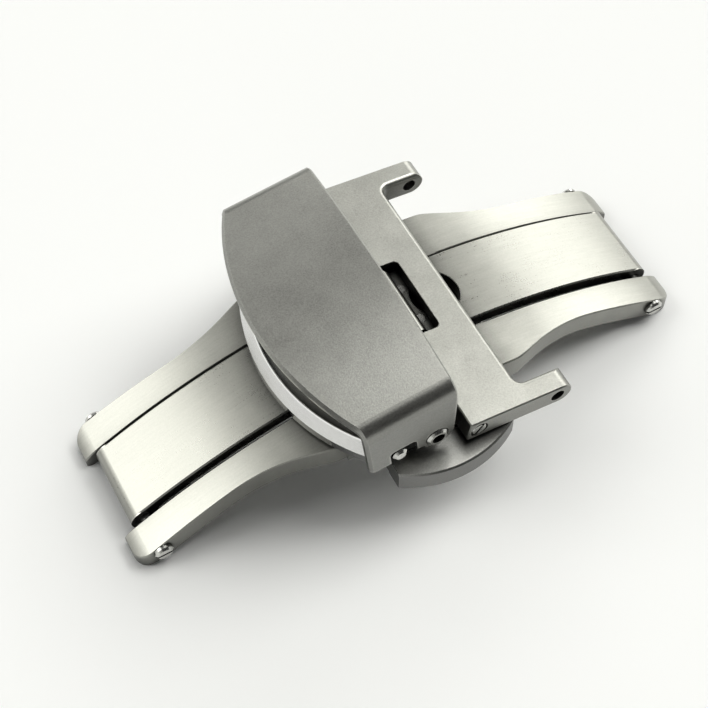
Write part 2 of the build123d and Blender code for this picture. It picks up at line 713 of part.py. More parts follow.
def inner_edge_cutter():
    """Hollow corner section, swept along the bar's right edge and both lugs, that rounds their upper edge."""
    side = lug_gap / 2
    root_x = bar_length + lug_root_radius
    front = Line((lug_end + cut_overrun, -side, 0), (root_x, -side, 0))
    front_root = TangentArc(front @ 1, (bar_length, lug_root_radius - side, 0), tangent=(-1, 0, 0))
    middle = Line(front_root @ 1, (bar_length, side - lug_root_radius, 0))
    back_root = TangentArc(middle @ 1, (root_x, side, 0), tangent=(0, 1, 0))
    back = Line(back_root @ 1, (lug_end + cut_overrun, side, 0))
    outside = lug_root_radius / 2
    size = bar_edge_radius + outside
    section = Pos(-outside, outside) * Rectangle(size, size, align=(Align.MIN, Align.MAX))
    section -= Pos(bar_edge_radius, -bar_edge_radius) * Circle(bar_edge_radius)
    start = Plane(origin=front @ 0, x_dir=(0, -1, 0), z_dir=(-1, 0, 0))
    return sweep(start * section, Wire([front, front_root, middle, back_root, back]))


def lug_bar():
    """T-shaped bar: slotted plate with two lugs, a bed for the arm and a cross hole for its pin."""
    lug_radius = bar_thickness / 2
    side = Rectangle(lug_hole_reach + lug_tip_offset, bar_thickness, align=(Align.MIN, Align.MAX))
    side += Pos(lug_hole_reach + lug_tip_offset, -lug_radius) * Circle(lug_radius)
    bar = extrude(Plane.XZ * side, bar_half_width, both=True)
    gap = Rectangle(lug_end, lug_gap, align=(Align.MIN, Align.CENTER))
    gap = fillet(gap.vertices().group_by(Axis.X)[0], lug_root_radius)
    bar -= Pos(bar_length, 0, 0) * extrude(gap, bar_thickness, both=True)
    bar -= inner_edge_cutter()
    bar = chamfer(bar.edges().filter_by(on_bar_end), bar_edge_break)
    slot = Rectangle(bar_slot_length + cut_overrun, 2 * bar_slot_half_width, align=(Align.MAX, Align.CENTER))
    slot = fillet(slot.vertices().group_by(Axis.X)[-1], bar_slot_corner_radius)
    bar -= Pos(bar_slot_length, 0, 0) * extrude(slot, bar_thickness, both=True)
    reach = bar_half_width + cut_overrun
    bar -= cross_rod(lug_hole_radius, (-reach, reach), lug_hole_reach, -lug_radius)
    bar -= cross_rod(bar_pin_radius, (-reach, reach), bar_pin_offset, -bar_pin_depth)
    seat = bar_half_width - bar_screw_height
    for y_range in ((-reach, -seat), (seat, reach)):
        bar -= cross_rod(bar_screw_radius + bar_screw_clearance, y_range, bar_pin_offset, -bar_pin_depth)
    bar = bar_frame() * bar
    bed_half = bar_slot_half_width
    bed = arch_cylinder(arch_radius + bar_bed_clearance, bed_half)
    return bar - (bed & block((0, arch_radius / 2), (-bed_half, bed_half), (-arch_radius, arch_radius)))


def lug_bar_pin():
    """Cross pin of the lug bar, on which the right arm's knuckle turns."""
    reach = bar_half_width - bar_screw_height
    return bar_frame() * cross_rod(bar_pin_radius, (-reach, reach), bar_pin_offset, -bar_pin_depth)


def lug_bar_screws():
    """Slotted heads that close both ends of the lug bar's cross hole."""
    head = slotted_head(bar_screw_radius, bar_screw_height, bar_screw_slot_depth / 2,
                        bar_screw_slot_width, bar_screw_slot_depth)
    head = Rot(0, 0, bar_screw_turn_deg) * head
    seat = bar_half_width - bar_screw_height
    front = Pos(bar_pin_offset, -seat, -bar_pin_depth) * Rot(90, 0, 0) * head
    back = Pos(bar_pin_offset, seat, -bar_pin_depth) * Rot(-90, 0, 0) * head
    return [bar_frame() * front, bar_frame() * back]


def half_turn(solids):
    """The same pieces turned by half a turn about Z, for the other button."""
    return [Rot(0, 0, 180) * solid for solid in solids]


def as_list(shape):
    """A list of solids from a shape or a list of shapes."""
    shapes = shape if isinstance(shape, list) else [shape]
    return [solid for item in shapes for solid in item.solids()]


def build_nodes():
    """Every node's name and its solids."""
    nodes = {
        "base_frame": base_frame(),
        "left_hinge_pin": hinge_pin(-arm_hinge_reach),
        "right_hinge_pin": hinge_pin(arm_hinge_reach),
        "keeper_plate": keeper_plate(),
        "keeper_screws": keeper_screws(),
        "left_arm": left_arm(),
        "right_arm": right_arm(),
        "left_catch_hook": catch_hook(-1),
        "right_catch_hook": catch_hook(1),
        "left_hook_rivets": hook_rivets(-1),
        "right_hook_rivets": hook_rivets(1),
        "button_front": button_front(),
        "springs_front": springs_front(),
        "strap_floor": strap_floor(),
        "floor_rivets": floor_rivets(),
        "strap_post": strap_post(),
        "flap_cover": flap_cover(),
        "flap_hinge_tube": flap_hinge_tube(),
        "flap_catch_pins": flap_catch_pins(),
        "lug_bar": lug_bar(),
        "lug_bar_pin": lug_bar_pin(),
        "lug_bar_screws": lug_bar_screws(),
    }
    nodes = {name: as_list(shape) for name, shape in nodes.items()}
    nodes["button_back"] = half_turn(nodes["button_front"])
    nodes["springs_back"] = half_turn(nodes["springs_front"])
    return nodes


def main():
    """Build the nodes, set the prongs on Z = 0 and write one file for each node."""
    nodes = build_nodes()
    lift = -nodes["base_frame"][0].bounding_box().min.Z
    for name, solids in nodes.items():
        placed = [Pos(0, 0, lift) * solid for solid in solids]
        export_step(placed[0] if len(placed) == 1 else Compound(children=placed), f"parts/{name}.step")
    print("lift", round(lift, 4))
    print("arm hinges at x", arm_hinge_reach, "z", round(hinge_height + lift, 4))
    print("flap hinge at x", -flap_tube_reach, "z", round(flap_tube_height + lift, 4))
    print("lug bar hinge at x", round(bar_pin_x, 4), "z", round(bar_pin_z + lift, 4))
    hole_x, hole_z = lug_hole_reach, -bar_thickness / 2
    hole = bar_frame() * Pos(hole_x, 0, hole_z)
    print("lug holes at x", round(hole.position.X, 4), "z", round(hole.position.Z + lift, 4))


main()
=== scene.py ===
"""Looks of the folding strap clasp: steel finishes, a pale floor, soft lights and a camera.

Most of the clasp's solids keep their shape and get a finish. Three are made anew from their own
points: the strap floor, whose rim gets its wide bevel, and the two springs. Lengths in the
classes below are in millimetres and are turned into metres where a mesh, the camera or a node
takes them.
"""

import logging
import math
from dataclasses import dataclass, replace
from enum import Enum
from typing import Any, ClassVar, Dict, List, Mapping, Optional, Tuple, Union

import bpy
import numpy as np
from mathutils import Matrix, Vector


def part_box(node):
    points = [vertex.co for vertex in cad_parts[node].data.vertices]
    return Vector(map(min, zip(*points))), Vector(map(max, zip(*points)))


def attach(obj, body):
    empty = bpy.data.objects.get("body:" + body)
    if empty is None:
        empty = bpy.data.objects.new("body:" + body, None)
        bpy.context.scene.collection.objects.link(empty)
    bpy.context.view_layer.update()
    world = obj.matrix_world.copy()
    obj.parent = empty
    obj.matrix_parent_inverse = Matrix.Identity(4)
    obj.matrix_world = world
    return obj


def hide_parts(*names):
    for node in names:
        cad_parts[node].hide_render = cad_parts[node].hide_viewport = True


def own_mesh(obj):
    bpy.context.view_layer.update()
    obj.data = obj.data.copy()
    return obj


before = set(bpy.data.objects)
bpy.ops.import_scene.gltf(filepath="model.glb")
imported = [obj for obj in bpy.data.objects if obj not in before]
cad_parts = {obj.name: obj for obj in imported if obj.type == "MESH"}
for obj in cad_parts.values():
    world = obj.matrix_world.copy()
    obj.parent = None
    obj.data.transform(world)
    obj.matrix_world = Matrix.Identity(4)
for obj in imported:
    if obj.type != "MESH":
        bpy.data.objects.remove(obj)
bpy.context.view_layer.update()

MM = 0.001
LOG = logging.getLogger("clasp")
Colour = Tuple[float, float, float]
Span = Tuple[float, float]
Value = Union["Signal", float]
Point = Tuple["Signal", "Signal", "Signal"]


class Signal:
    """One output of a node, with arithmetic: each operator adds one Math node to the tree."""

    def __init__(self, graph: "Graph", socket: Optional[bpy.types.NodeSocket]) -> None:
        """Keeps the tree and the output socket."""
        self.graph = graph
        self.socket = socket

    def _math(self, operation: str, *values: Value, clamp: bool = False) -> "Signal":
        """Adds one Math node.

        Args:
            operation: the node's operation.
            values: its inputs in order, signals or numbers.
            clamp: whether the result is kept between 0 and 1.

        Returns:
            The node's result.
        """
        settings = {"operation": operation, "use_clamp": clamp}
        return self.graph.add("ShaderNodeMath", settings, dict(enumerate(values)))

    def __add__(self, other: Value) -> "Signal":
        """self + other."""
        return self._math("ADD", self, other)

    __radd__ = __add__

    def __sub__(self, other: Value) -> "Signal":
        """self - other."""
        return self._math("SUBTRACT", self, other)

    def __rsub__(self, other: float) -> "Signal":
        """other - self."""
        return self._math("SUBTRACT", other, self)

    def __mul__(self, other: Value) -> "Signal":
        """self * other."""
        return self._math("MULTIPLY", self, other)

    __rmul__ = __mul__

    def __pow__(self, other: Value) -> "Signal":
        """self to the power of other."""
        return self._math("POWER", self, other)

    def __rpow__(self, other: float) -> "Signal":
        """other to the power of self."""
        return self._math("POWER", other, self)

    def __abs__(self) -> "Signal":
        """The absolute value."""
        return self._math("ABSOLUTE", self)

    def root(self) -> "Signal":
        """The square root."""
        return self._math("SQRT", self)

    def clamped(self) -> "Signal":
        """The value kept between 0 and 1."""
        return self._math("ADD", self, 0.0, clamp=True)

    def smoothstep(self, low: float, high: float) -> "Signal":
        """Rises smoothly from 0 at low to 1 at high.

        Args:
            low: value at which the result leaves 0.
            high: value at which it reaches 1.

        Returns:
            The eased share.
        """
        settings = {"interpolation_type": "SMOOTHSTEP"}
        inputs = {"Value": self, "From Min": low, "From Max": high}
        return self.graph.add("ShaderNodeMapRange", settings, inputs)


class Graph:
    """A node tree with one way of adding a node."""

    def __init__(self, tree: bpy.types.NodeTree) -> None:
        """Empties the tree and keeps it."""
        self.tree = tree
        tree.nodes.clear()

    def add(self, kind: str, settings: Mapping[str, Any], inputs: Mapping[Union[int, str], Any],
            output: Union[int, str] = 0) -> Signal:
        """Adds a node, sets it up and links or fills its sockets.

        Args:
            kind: the node's type.
            settings: attributes of the node.
            inputs: socket names or places with numbers, colours or signals.
            output: which of its outputs is given back.

        Returns:
            The chosen output, with no socket where the node has no outputs.
        """
        node = self.tree.nodes.new(kind)
        for name, value in settings.items():
            setattr(node, name, value)
        for place, value in inputs.items():
            if isinstance(value, Signal):
                self.tree.links.new(value.socket, node.inputs[place])
            else:
                node.inputs[place].default_value = value
        return Signal(self, node.outputs[output] if len(node.outputs) else None)

    def axes(self) -> Point:
        """The point that is shaded, in millimetres of the clasp's frame.

        Returns:
            Its x, y and z.
        """
        place = self.add("ShaderNodeTexCoord", {}, {}, "Object")
        scaled = self.add("ShaderNodeVectorMath", {"operation": "SCALE"},
                          {0: place, "Scale": 1.0 / MM})
        parts = self.add("ShaderNodeSeparateXYZ", {}, {0: scaled}).socket.node.outputs
        return Signal(self, parts[0]), Signal(self, parts[1]), Signal(self, parts[2])

    def uprightness(self) -> Signal:
        """1 on faces that look straight up or down, 0 on faces that look sideways."""
        facing = self.add("ShaderNodeTexCoord", {}, {}, "Normal")
        return abs(self.add("ShaderNodeSeparateXYZ", {}, {0: facing}, 2))

    def joined(self, x: Value, y: Value, z: Value) -> Signal:
        """A vector from its three parts."""
        return self.add("ShaderNodeCombineXYZ", {}, {0: x, 1: y, 2: z})

    def noise(self, where: Signal, scale: float, detail: float, roughness: float) -> Signal:
        """Noise with a mean of about a half.

        Args:
            where: the vector that it is read at, in millimetres.
            scale: features per millimetre.
            detail: octaves.
            roughness: strength of the finer octaves.

        Returns:
            The noise value.
        """
        inputs = {"Vector": where, "Scale": scale, "Detail": detail, "Roughness": roughness}
        return self.add("ShaderNodeTexNoise", {}, inputs, "Fac")

    def mixed(self, share: Signal, low: Union[Signal, Colour],
              high: Union[Signal, Colour]) -> Signal:
        """A colour between two others.

        Args:
            share: 0 gives the first colour and 1 the second.
            low: first colour, fixed or from a node.
            high: second colour.

        Returns:
            The mixed colour.
        """
        ends = [value if isinstance(value, Signal) else (*value, 1.0) for value in (low, high)]
        inputs = {0: share, 6: ends[0], 7: ends[1]}
        return self.add("ShaderNodeMix", {"data_type": "RGBA"}, inputs, 2)


class Grain(Enum):
    """Which way the tool marks of a finish run."""

    BLASTED = "blasted"
    ALONG = "along"
    ACROSS = "across"
    TURNED = "turned"
    DRAWN = "drawn"


@dataclass(frozen=True)
class ShadeAndWear:
    """Painted shade in crevices and a painted highlight along outer edges, with their real
    rubbing in the roughness.

    Attributes:
        shade_reach: how far from a corner the painted shade of a crevice reaches, in millimetres.
        shade_power: how fast the painted shade deepens towards the bottom of a crevice.
        edge_reach: width of the line along outer edges that gets a painted highlight and real
            rubbing, in millimetres.
        edge_highlight: how much lighter the line is, a painted highlight, as a share of the tone.
        edge_smooth: how much its roughness drops.
        edge_span: shares of near wall at which the line starts and is full.
        rays: how many ways are felt for walls.
    """

    shade_reach: float = 1.8
    shade_power: float = 1.5
    edge_reach: float = 0.14
    edge_highlight: float = 0.30
    edge_smooth: float = 0.10
    edge_span: Span = (0.05, 0.45)
    rays: int = 8

    def exposure(self, graph: Graph) -> Signal:
        """Painted shade: 1 on open faces, falling to 0 at the bottom of slots and gaps, where the
        metal is painted dark.
        """
        open_share = graph.add("ShaderNodeAmbientOcclusion", {"samples": self.rays},
                               {"Distance": self.shade_reach * MM}, "AO")
        return open_share ** self.shade_power

    def edges(self, graph: Graph) -> Signal:
        """1 on outer edges, where the wall is thin, falling to 0 a line's width inside them."""
        settings = {"samples": self.rays, "inside": True, "only_local": True}
        wall = graph.add("ShaderNodeAmbientOcclusion", settings,
                         {"Distance": self.edge_reach * MM}, "AO")
        return (1.0 - wall).smoothstep(*self.edge_span)


@dataclass(frozen=True)
class SteelFinish:
    """One steel finish.

    Attributes:
        name: the material's name.
        colour: the metal's own colour.
        roughness: middle roughness.
        grain: the way that the marks run.
        grain_depth: strength of the marks in the bump.
        tone_spread: how far the marks change the colour, as a share.
        rough_spread: how far the marks change the roughness.
        cloud_spread: how far the slow, blotchy change goes, as a share of the colour.
        grain_per_mm: marks for each millimetre.
        side_shade: painted shade on faces that look sideways: how much darker they are than the
            tops, as a share.
        axis: x and z of the axis that turned marks run round, in millimetres.
        shade_and_wear: painted shade in crevices, a painted highlight along outer edges and their
            real rubbing.
    """

    name: str
    colour: Colour
    roughness: float
    grain: Grain
    grain_depth: float
    tone_spread: float
    rough_spread: float
    cloud_spread: float
    grain_per_mm: float = 9.0
    side_shade: float = 0.0
    axis: Span = (0.0, 0.0)
    shade_and_wear: ShadeAndWear = ShadeAndWear()

    MIDDLE: ClassVar[float] = 0.5             # mean of the noise
    DOTS: ClassVar[Span] = (2.0, 0.7)         # octaves and their strength, of the fine dots
    BRUSHED: ClassVar[Span] = (3.0, 0.6)      # the same for brushed lines
    FINE_LINES: ClassVar[Span] = (2.0, 0.5)   # the same for turned and drawn lines
    BRUSHED_DENSITY: ClassVar[float] = 0.8    # lines for each dot
    BRUSHED_SQUEEZE: ClassVar[float] = 0.07   # along the marks; brushed lines are long
    TURNED_SQUEEZE: ClassVar[float] = 0.9
    DRAWN_SQUEEZE: ClassVar[float] = 0.3
    CLOUDS_PER_MM: ClassVar[float] = 0.45
    CLOUDS: ClassVar[Span] = (4.0, 0.6)
    CLOUD_ROUGHNESS: ClassVar[float] = 0.08   # how far the blotches change the roughness
    DARKEST: ClassVar[float] = 0.4            # shares of the colour at the ends of the tone
    LIGHTEST: ClassVar[float] = 1.6
    # painted shade: the near black that crevices and sideways faces fade to
    PAINTED_SHADE: ClassVar[Colour] = (0.02, 0.02, 0.02)
    MARK_HEIGHT: ClassVar[float] = 0.02
    TOPS: ClassVar[Span] = (0.30, 0.86)       # uprightness of the sides and of the tops

    def marks(self, graph: Graph, point: Point) -> Signal:
        """The tool marks as a value round a half.

        Noise is read at the point itself for blasted steel, at a point squeezed along the marks
        for brushed and drawn steel, and at the distance from the axis for turned steel. Lines
        have fine dots of grain between them.

        Args:
            graph: the tree that the nodes go into.
            point: the point's x, y and z in millimetres.

        Returns:
            The marks.
        """
        x, y, z = point
        dots = graph.noise(graph.joined(x, y, z), self.grain_per_mm, *self.DOTS)
        if self.grain is Grain.BLASTED:
            return dots
        density, shape, squeeze = self.grain_per_mm, self.FINE_LINES, self.DRAWN_SQUEEZE
        if self.grain in (Grain.ALONG, Grain.ACROSS):
            density, shape = self.grain_per_mm * self.BRUSHED_DENSITY, self.BRUSHED
            squeeze = self.BRUSHED_SQUEEZE
        if self.grain is Grain.ACROSS:
            where = graph.joined(x, y * squeeze, z)
        elif self.grain is Grain.TURNED:
            across, up = x - self.axis[0], z - self.axis[1]
            reach = (across * across + up * up).root()
            where = graph.joined(reach, y * self.TURNED_SQUEEZE, 0.0)
        else:
            where = graph.joined(x * squeeze, y, z * squeeze)
        lines = graph.noise(where, density, *shape)
        return lines * self.MIDDLE + dots * self.MIDDLE

    def exposure(self, graph: Graph, point: Point) -> Signal:
        """How far the surface is left unshaded: painted shade darkens it in crevices and on faces
        that look sideways.

        Args:
            graph: the tree that the nodes go into.
            point: the point's x, y and z in millimetres.

        Returns:
            1 for full metal, 0 for dark.
        """
        tops = graph.uprightness().smoothstep(*self.TOPS)
        # painted shade in crevices and on faces that look sideways
        return self.shade_and_wear.exposure(graph) * (1.0 - self.side_shade * (1.0 - tops))

    def material(self) -> bpy.types.Material:
        """Builds the finish.

        Returns:
            The material.
        """
        material = bpy.data.materials.new(self.name)
        material.use_nodes = True
        material.diffuse_color = (*self.colour, 1.0)
        graph = Graph(material.node_tree)
        point = graph.axes()
        marks = self.marks(graph, point)
        clouds = graph.noise(graph.joined(*point), self.CLOUDS_PER_MM, *self.CLOUDS)
        edge_highlight_and_rub = self.shade_and_wear.edges(graph)
        mark, cloud = marks - self.MIDDLE, clouds - self.MIDDLE
        tone = mark * self.tone_spread + cloud * self.cloud_spread + self.MIDDLE
        # painted highlight: the tone is lighter along outer edges
        tone = tone + edge_highlight_and_rub * self.shade_and_wear.edge_highlight
        rough = mark * self.rough_spread + cloud * self.CLOUD_ROUGHNESS + self.roughness
        # real rubbing: the outer edges are smoother
        rough = rough - edge_highlight_and_rub * self.shade_and_wear.edge_smooth
        dark = tuple(value * self.DARKEST for value in self.colour)
        light = tuple(min(value * self.LIGHTEST, 1.0) for value in self.colour)
        metal = graph.mixed(tone.clamped(), dark, light)
        bump = graph.add("ShaderNodeBump", {}, {"Height": marks, "Strength": self.grain_depth,
                                                "Distance": self.MARK_HEIGHT * MM})
        inputs = {
            # painted shade: the metal fades to near black in crevices and on faces that look
            # sideways
            "Base Color": graph.mixed(self.exposure(graph, point), self.PAINTED_SHADE, metal),
            "Metallic": 1.0,
            "Roughness": rough.clamped(),
            "Normal": bump,
        }
        surface = graph.add("ShaderNodeBsdfPrincipled", {}, inputs)
        graph.add("ShaderNodeOutputMaterial", {}, {"Surface": surface})
        return material


@dataclass(frozen=True)
class FloorFinish(SteelFinish):
    """Finish of the strap floor: painted shade, deep on the bed behind the rim and light on the
    rim.

    Attributes:
        arc_centre: x of the centre of the rim's arc, in millimetres.
        bed_reach: distance from that centre at which the bed ends and the rim starts.
        bed_power: how fast the painted shade deepens on the bed, where the cover lies over it.
        rim_power: how fast the painted shade deepens on the rim.
    """

    arc_centre: float = 5.72
    bed_reach: float = 13.95
    bed_power: float = 4.5
    rim_power: float = 0.4

    BLUR: ClassVar[float] = 0.05              # half the width of the line between bed and rim
    SLOPES: ClassVar[Span] = (0.25, 0.45)     # uprightness of the sides and of the slopes

    def exposure(self, graph: Graph, point: Point) -> Signal:
        """As for any steel, with the painted shade deepening faster on the bed behind the rim."""
        x, y, _ = point
        across = x - self.arc_centre
        reach = (across * across + y * y).root()
        rim = reach.smoothstep(self.bed_reach - self.BLUR, self.bed_reach + self.BLUR)
        # painted shade: deep on the bed under the cover, light on the rim
        power = self.bed_power - (self.bed_power - self.rim_power) * rim
        open_share = replace(self.shade_and_wear, shade_power=1.0).exposure(graph)
        # painted shade also on faces that look sideways; the bevel's slopes count as tops
        slopes = graph.uprightness().smoothstep(*self.SLOPES)
        return open_share ** power * (1.0 - self.side_shade * (1.0 - slopes))


def welded(node: str) -> Tuple[np.ndarray, np.ndarray]:
    """The points of a solid, each once, in millimetres, and its triangles.

    Args:
        node: the solid's name.

    Returns:
        Points and triangles.
    """
    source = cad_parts[node].data
    raw = np.empty(len(source.vertices) * 3)
    source.vertices.foreach_get("co", raw)
    rounded = np.round(raw.reshape(-1, 3) / MM, 4)
    points, places = np.unique(rounded, axis=0, return_inverse=True)
    corners = np.empty(len(source.loops), dtype=np.int64)
    source.loops.foreach_get("vertex_index", corners)
    faces = places.reshape(-1)[corners].reshape(-1, 3)
    first, second, third = faces.T
    whole = (first != second) & (second != third) & (third != first)
    return points, faces[whole]


def shell_piece(name: str, points: np.ndarray, faces: np.ndarray,
                crease: float) -> bpy.types.Object:
    """A new piece from points and triangles, smooth up to a crease angle.

    Args:
        name: the piece's name.
        points: its points in millimetres.
        faces: its triangles.
        crease: angle in degrees over which an edge stays sharp.

    Returns:
        The piece, in the scene.
    """
    mesh = bpy.data.meshes.new(name)
    mesh.from_pydata((points * MM).tolist(), [], faces.tolist())
    mesh.shade_smooth()
    mesh.set_sharp_from_angle(angle=math.radians(crease))
    piece = bpy.data.objects.new(name, mesh)
    bpy.context.collection.objects.link(piece)
    return piece


@dataclass
class CoilSprings:
    """The springs behind the buttons, which in the clasp shorten against the housing as a button
    goes in; here they keep their length.

    Attributes:
        stroke: travel of a button in millimetres; not used.
        seats: each spring node's joint and the y of its end on the housing, in millimetres.
        crease: angle in degrees over which an edge stays sharp; the wire's edges are smooth.
        body: the body that the springs rest on.
    """

    stroke: float = 0.8
    seats: Tuple[Tuple[str, str, float], ...] = (
        ("springs_front", "front_press", -4.92),
        ("springs_back", "back_press", 4.92),
    )
    crease: float = 75.0
    body: str = "base"

    def build(self, finish: bpy.types.Material) -> None:
        """Makes the springs with round-looking wire.

        Args:
            finish: the springs' material.
        """
        for node, joint, seat in self.seats:
            points, faces = welded(node)
            length = float(np.abs(points[:, 1] - seat).max())
            coils = shell_piece(node + "_coils", points, faces, self.crease)
            coils.data.materials.append(finish)
            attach(coils, self.body)
            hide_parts(node)
            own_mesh(coils)
            LOG.info("%s: %.2f mm long, %s", coils.name, length, finish.name)


@dataclass
class FloorPlate:
    """Strap floor with the wide bevel of its rim.

    Attributes:
        arch_radius: radius of the arch under the plate.
        lift: height of the arch's crown.
        arc_centre: x of the centre of the rim's arc.
        arc_radius: radius of the rim's outer face.
        rim_top: distance of the rim's top from the arch's axis.
        solid_bevel: width and height of the bevel on the solid.
        bevel_foot: distance of the new bevel's lower line from the arch's axis.
        bevel_width: how far the new bevel reaches over the rim's top.
        slack: how far off a point of the solid's bevel may lie.
        foot_slack: the same for the height of its foot.
        crease: angle in degrees over which an edge stays sharp.
        body: the body that the plate rides on.
    """

    arch_radius: float = 42.7
    lift: float = 7.3582
    arc_centre: float = 5.72
    arc_radius: float = 14.6
    rim_top: float = 44.3
    solid_bevel: float = 0.26
    bevel_foot: float = 43.38
    bevel_width: float = 0.56
    slack: float = 0.02
    foot_slack: float = 0.03
    crease: float = 24.0
    body: str = "left_wing"

    def build(self) -> None:
        """Makes the plate from the solid's points and puts it in the solid's place."""
        points, faces = welded("strap_floor")
        self._widen_bevel(points)
        plate = shell_piece("strap_floor_plate", points, faces, self.crease)
        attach(plate, self.body)
        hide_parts("strap_floor")
        # painted highlight: the plate's light colour stands in for the bright band that the rim's
        # bevel reflects; painted shade darkens its sides
        finish = FloorFinish(
            "floor_steel_satin", (0.80, 0.80, 0.76), roughness=0.22, grain=Grain.ACROSS,
            grain_depth=0.22, tone_spread=0.50, rough_spread=0.12, cloud_spread=0.14,
            side_shade=0.68, arc_centre=self.arc_centre)
        plate.data.materials.append(finish.material())
        LOG.info("%s: %d faces, %s", plate.name, len(faces), finish.name)

    def _widen_bevel(self, points: np.ndarray) -> None:
        """Lowers the bevel's foot along the rim's outer face and moves its top line inwards.

        A point's height over the arch is its distance from the arch's axis, and its reach is its
        distance from the centre of the rim's arc in plan. The foot keeps its place in plan.

        Args:
            points: the plate's points in millimetres, which are changed.
        """
        axis_z = self.lift - self.arch_radius
        height = np.hypot(points[:, 0], points[:, 2] - axis_z)
        across = points[:, 0] - self.arc_centre
        reach = np.hypot(across, points[:, 1])
        outside = abs(reach - self.arc_radius) < self.slack
        inside = abs(reach - self.arc_radius + self.solid_bevel) < self.slack
        foot = outside & (abs(height - self.rim_top + self.solid_bevel) < self.foot_slack)
        crest = inside & (abs(height - self.rim_top) < self.slack)
        points[foot, 2] = np.sqrt(self.bevel_foot ** 2 - points[foot, 0] ** 2) + axis_z
        inwards = (self.arc_radius - self.bevel_width) / reach[crest]
        points[crest, 0] = self.arc_centre + across[crest] * inwards
        points[crest, 1] *= inwards
        points[crest, 2] = np.sqrt(self.rim_top ** 2 - points[crest, 0] ** 2) + axis_z


@dataclass
class Dressing:
    """Gives every solid of the clasp its finish.

    Attributes:
        turned_words: words in the names of the nodes that are turned.
    """

    turned_words: Tuple[str, ...] = ("pin", "screw", "rivet", "tube", "post")

    def finishes(self) -> Dict[str, bpy.types.Material]:
        """The material of every node.

        Returns:
            Node names with their materials.
        """
        # Every finish below gets painted shade in crevices and on faces that look sideways, and a
        # painted highlight along outer edges; the cover and the buttons get brighter painted
        # edges.
        frame_steel = SteelFinish(
            "frame_steel_satin", (0.44, 0.44, 0.405), roughness=0.31, grain=Grain.ALONG,
            grain_depth=0.18, tone_spread=0.42, rough_spread=0.12, cloud_spread=0.16,
            side_shade=0.34).material()
        arm_steel = SteelFinish(
            "arm_steel_satin", (0.40, 0.40, 0.368), roughness=0.29, grain=Grain.ALONG,
            grain_depth=0.18, tone_spread=0.42, rough_spread=0.12, cloud_spread=0.14,
            side_shade=0.30, shade_and_wear=ShadeAndWear(shade_power=2.4)).material()
        cover_steel = SteelFinish(
            "cover_steel_blasted", (0.375, 0.375, 0.353), roughness=0.34, grain=Grain.BLASTED,
            grain_depth=0.35, tone_spread=0.55, rough_spread=0.16, cloud_spread=0.22,
            side_shade=0.39, shade_and_wear=ShadeAndWear(edge_reach=0.18, edge_highlight=0.8)).material()
        bar_steel = SteelFinish(
            "bar_steel_blasted", (0.40, 0.40, 0.372), roughness=0.35, grain=Grain.BLASTED,
            grain_depth=0.32, tone_spread=0.50, rough_spread=0.14, cloud_spread=0.22,
            side_shade=0.36).material()
        button_steel = SteelFinish(
            "button_steel_blasted", (0.43, 0.43, 0.413), roughness=0.32, grain=Grain.BLASTED,
            grain_depth=0.30, tone_spread=0.45, rough_spread=0.14, cloud_spread=0.16,
            side_shade=0.66, shade_and_wear=ShadeAndWear(edge_highlight=0.6)).material()
        inner_steel = SteelFinish(
            "inner_steel_milled", (0.40, 0.40, 0.385), roughness=0.34, grain=Grain.ACROSS,
            grain_depth=0.30, tone_spread=0.30, rough_spread=0.14, cloud_spread=0.14,
            grain_per_mm=5.0).material()
        spring_steel = SteelFinish(
            "spring_steel_drawn", (0.42, 0.42, 0.41), roughness=0.30, grain=Grain.DRAWN,
            grain_depth=0.20, tone_spread=0.20, rough_spread=0.12, cloud_spread=0.08).material()
        return {
            "base_frame": frame_steel,
            "strap_floor": frame_steel,
            "left_arm": arm_steel,
            "right_arm": arm_steel,
            "flap_cover": cover_steel,
            "lug_bar": bar_steel,
            "button_front": button_steel,
            "button_back": button_steel,
            "keeper_plate": inner_steel,
            "left_catch_hook": inner_steel,
            "right_catch_hook": inner_steel,
            "springs_front": spring_steel,
            "springs_back": spring_steel,
            **self._turned_finishes(),
        }

    def _turned_finishes(self) -> Dict[str, bpy.types.Material]:
        """Finishes of the pins, screws and rivets, each with marks round its own axis.

        Returns:
            Node names with their materials.
        """
        turned = {}
        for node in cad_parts:
            if any(word in node for word in self.turned_words):
                low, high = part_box(node)
                axis = ((low[0] + high[0]) / 2 / MM, (low[2] + high[2]) / 2 / MM)
                turned[node] = SteelFinish(
                    node + "_turned", (0.64, 0.64, 0.60), roughness=0.24, grain=Grain.TURNED,
                    grain_depth=0.30, tone_spread=0.30, rough_spread=0.16, cloud_spread=0.08,
                    axis=axis, shade_and_wear=ShadeAndWear(edge_reach=0.08)).material()
        return turned

    def apply(self) -> Dict[str, bpy.types.Material]:
        """Puts each finish on its solid.

        Returns:
            Node names with their materials.
        """
        finishes = self.finishes()
        for node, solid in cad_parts.items():
            solid.data.materials.clear()
            solid.data.materials.append(finishes[node])
            LOG.info("%s: %s", node, finishes[node].name)
        return finishes


@dataclass(frozen=True)
class Lamp:
    """One soft light, far away, so that the floor is lit evenly.

    Attributes:
        name: the lamp's name.
        turn: angle of its place from +X towards +Y, in degrees.
        height: angle of its place above the floor.
        width: angle that it covers as seen from the clasp.
        strength: light that falls on a face turned towards it.
        colour: the light's colour.
    """

    name: str
    turn: float
    height: float
    width: float
    strength: float
    colour: Colour = (1.0, 1.0, 0.960)

    def build(self) -> None:
        """Makes the lamp and turns it towards the clasp."""
        turn, height = math.radians(self.turn), math.radians(self.height)
        level = math.cos(height)
        towards = Vector((math.cos(turn) * level, math.sin(turn) * level, math.sin(height)))
        data = bpy.data.lights.new(self.name, "SUN")
        data.angle = math.radians(self.width)
        data.energy = self.strength
        data.color = self.colour
        lamp = bpy.data.objects.new(self.name, data)
        lamp.matrix_world = towards.to_track_quat("Z", "Y").to_matrix().to_4x4()
        bpy.context.collection.objects.link(lamp)


